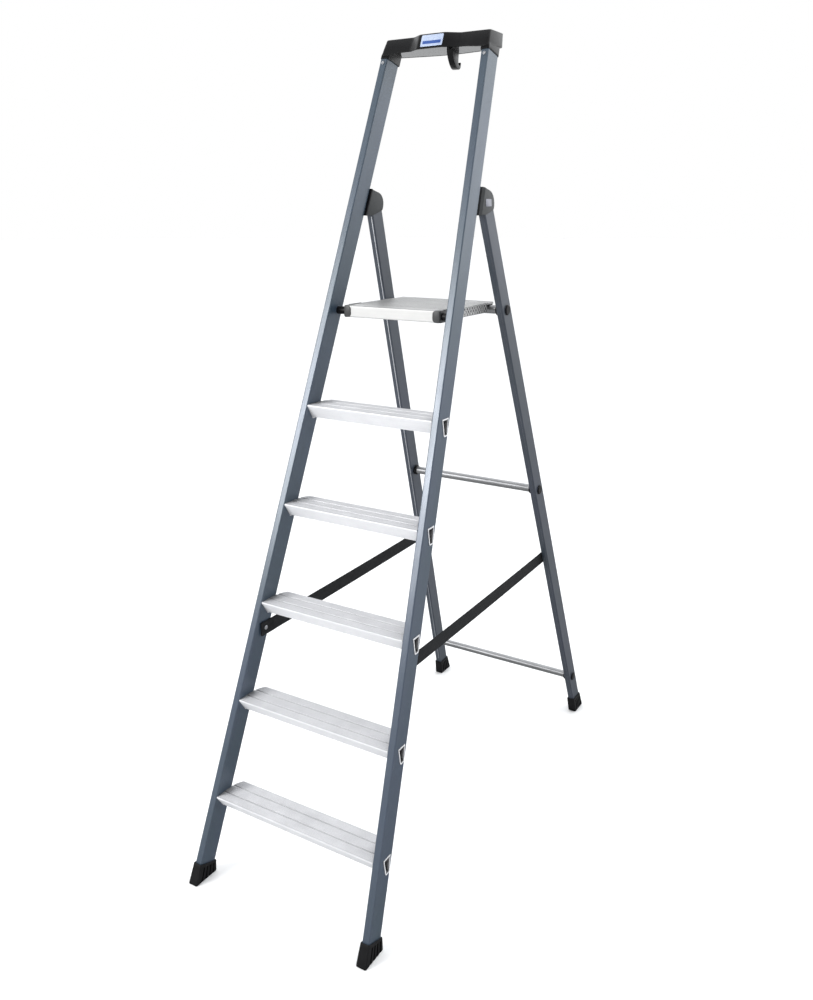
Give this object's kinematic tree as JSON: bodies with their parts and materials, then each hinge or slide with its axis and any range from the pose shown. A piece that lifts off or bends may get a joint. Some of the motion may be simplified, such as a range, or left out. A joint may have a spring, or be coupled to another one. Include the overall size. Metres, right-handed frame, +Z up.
{
  "type": "step ladder",
  "caption": "Single-sided folding step ladder: deep treads, guard-rail height stiles with tool tray, lift-up platform, and a braced rear frame held open by two straps.",
  "frame": {"origin": "on the floor at the middle of the open ladder's footprint", "axes": "+Z up; the climbing side faces -Y and the rear frame is towards +Y; +X is to the climber's right"},
  "size_m": [0.5436, 1.3414, 2.0095],
  "materials": {
    "stile_anodised": "blue-grey anodised, satin",
    "leg_anodised": "dark blue-grey anodised, satin",
    "tread_aluminium": "mill finish with extruded ribs",
    "platform_aluminium": "mill finish, grooved and perforated",
    "rung_aluminium": "mill finish tube",
    "foot_rubber": "moulded, matt",
    "tray_plastic": "moulded, fine grain",
    "black_plastic": "moulded, satin",
    "hinge_plastic": "moulded, satin grey",
    "nylon": "natural nylon",
    "zinc_steel": "zinc plated",
    "webbing": "woven polyester webbing",
    "label_blue": "printed label panel, no lettering",
    "label_white": "plain white label"
  },
  "bodies": {
    "front_frame": {"stile_left": "stile_anodised", "stile_right": "stile_anodised", "tread_1": "tread_aluminium", "tread_2": "tread_aluminium", "tread_3": "tread_aluminium", "tread_4": "tread_aluminium", "tread_5": "tread_aluminium", "front_foot_left": "foot_rubber", "front_foot_right": "foot_rubber", "tool_tray": "tray_plastic", "bucket_hook": "tray_plastic", "tray_label": "label_blue", "tray_screws": "zinc_steel", "hinge_bracket_left": "hinge_plastic", "hinge_bracket_right": "hinge_plastic", "bracket_base_left": "black_plastic", "bracket_base_right": "black_plastic", "bracket_rivets": "zinc_steel", "bracket_label": "label_white", "hinge_pin_left": "zinc_steel", "hinge_pin_right": "zinc_steel", "platform_spacer_left": "black_plastic", "platform_spacer_right": "black_plastic", "platform_pivot_pins": "zinc_steel", "strap_rivets_front": "zinc_steel", "strap_left": "webbing", "strap_right": "webbing"},
    "rear_frame": {"rear_leg_left": "leg_anodised", "rear_leg_right": "leg_anodised", "rear_rung_upper": "rung_aluminium", "rear_rung_middle": "rung_aluminium", "rear_rung_lower": "rung_aluminium", "rung_collars": "black_plastic", "rung_plugs": "black_plastic", "rear_foot_left": "foot_rubber", "rear_foot_right": "foot_rubber", "leg_bush_left": "nylon", "leg_bush_right": "nylon", "strap_rivets_rear": "zinc_steel"},
    "platform": {"platform_deck": "platform_aluminium", "platform_side_rail_left": "platform_aluminium", "platform_side_rail_right": "platform_aluminium", "platform_front_beam": "platform_aluminium", "platform_end_cap_left": "black_plastic", "platform_end_cap_right": "black_plastic", "platform_rear_beam": "platform_aluminium", "platform_hook_left": "black_plastic", "platform_hook_right": "black_plastic"}
  },
  "joints": [
    {"name": "rear_fold", "type": "hinge", "parent": "front_frame", "child": "rear_frame", "pos_m": [0, 0.04605, 1.62821], "axis": [-1, 0, 0], "range_deg": [0, 40.5], "deforming": ["strap_left", "strap_right"]},
    {"name": "platform_lift", "type": "hinge", "parent": "front_frame", "child": "platform", "pos_m": [0, -0.11067, 1.375], "axis": [1, 0, 0], "range_deg": [0, 69.5]}
  ],
  "couplings": [
    {"joint": "platform_lift", "follows": "rear_fold", "ratio": 1.716}
  ]
}
